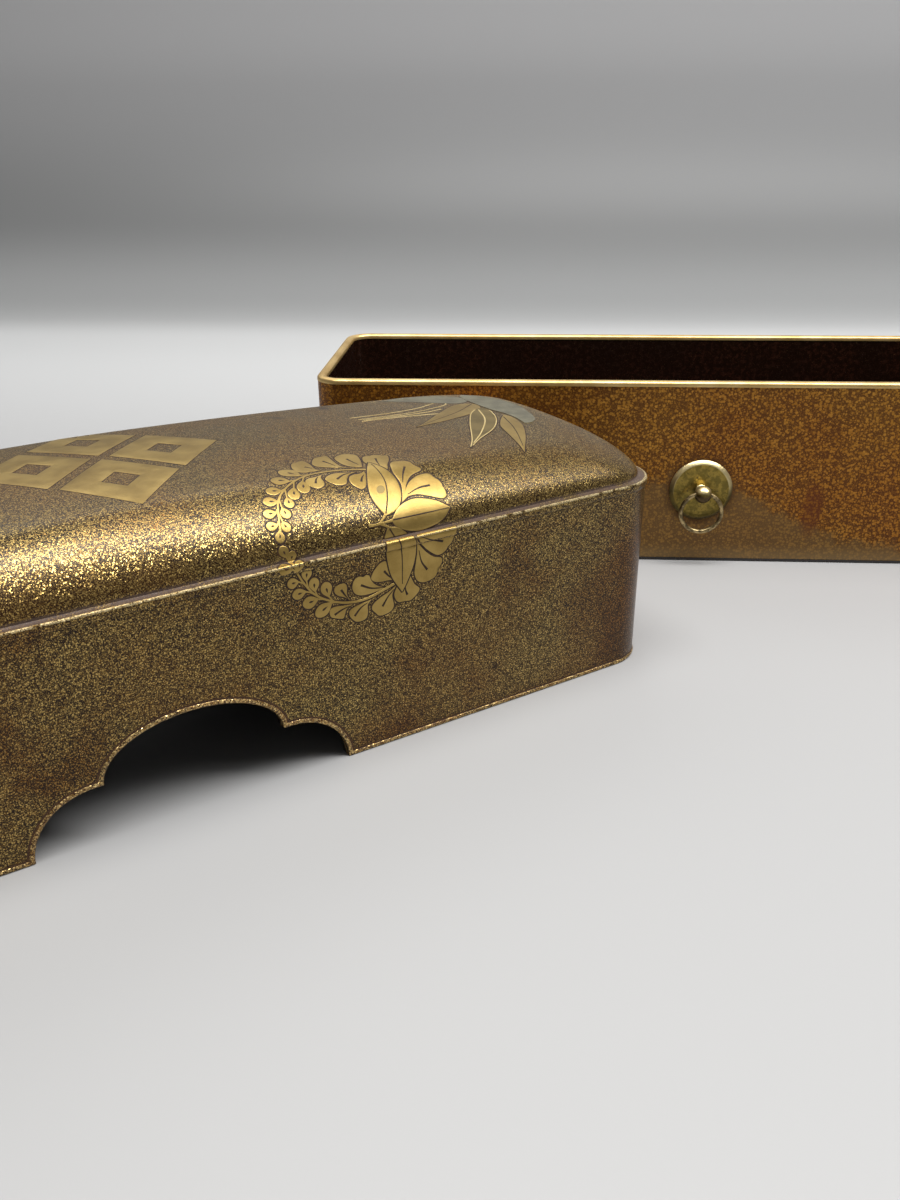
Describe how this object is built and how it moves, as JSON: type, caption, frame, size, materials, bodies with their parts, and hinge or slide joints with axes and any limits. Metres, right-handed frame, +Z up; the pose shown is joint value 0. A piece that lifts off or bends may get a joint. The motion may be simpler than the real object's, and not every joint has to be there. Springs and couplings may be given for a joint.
{
  "type": "lacquer letter box",
  "caption": "Long lacquered letter box with a hollow tray body, small ring fittings on its long sides and a domed slip-over lid with shaped cut-outs, shown taken off.",
  "frame": {"origin": "middle of the body's underside, on the surface the box stands on", "axes": "+X along the body's length, -Y towards the side whose ring fitting shows in the picture, +Z up"},
  "size_m": [0.3862, 0.2856, 0.0639],
  "materials": {
    "lid_lacquer": "dark brown lacquer densely sprinkled with gold flakes, glossy",
    "body_lacquer": "amber brown lacquer with fine sprinkled gold, glossy, worn",
    "black_lacquer": "near black lacquer, satin",
    "gilt_edging": "gilt, softly worn",
    "fitting_brass": "patinated brass, brown and olive in the hollows"
  },
  "bodies": {
    "body": {"body_bottom_board": "black_lacquer", "body_front_board": "body_lacquer", "body_back_board": "body_lacquer", "body_left_end_board": "body_lacquer", "body_right_end_board": "body_lacquer", "body_rim": "gilt_edging", "front_plate": "fitting_brass", "front_eye_stud": "fitting_brass", "front_washer": "fitting_brass", "back_plate": "fitting_brass", "back_eye_stud": "fitting_brass", "back_washer": "fitting_brass"},
    "lid": {"lid_top_board": "lid_lacquer", "lid_front_board": "lid_lacquer", "lid_back_board": "lid_lacquer", "lid_left_end_board": "lid_lacquer", "lid_right_end_board": "lid_lacquer"},
    "front_cord_ring": {"front_ring": "fitting_brass"},
    "back_cord_ring": {"back_ring": "fitting_brass"}
  },
  "joints": [
    {"name": "lid_lift", "type": "slide", "parent": "body", "child": "lid", "axis": [0, 0, 1], "range_m": [0, 0.08]},
    {"name": "front_ring_swing", "type": "hinge", "parent": "body", "child": "front_cord_ring", "pos_m": [0, -0.04225, 0.0241], "axis": [-1, 0, 0], "range_deg": [-12, 192]},
    {"name": "back_ring_swing", "type": "hinge", "parent": "body", "child": "back_cord_ring", "pos_m": [0, 0.04225, 0.0241], "axis": [1, 0, 0], "range_deg": [-12, 192]}
  ]
}
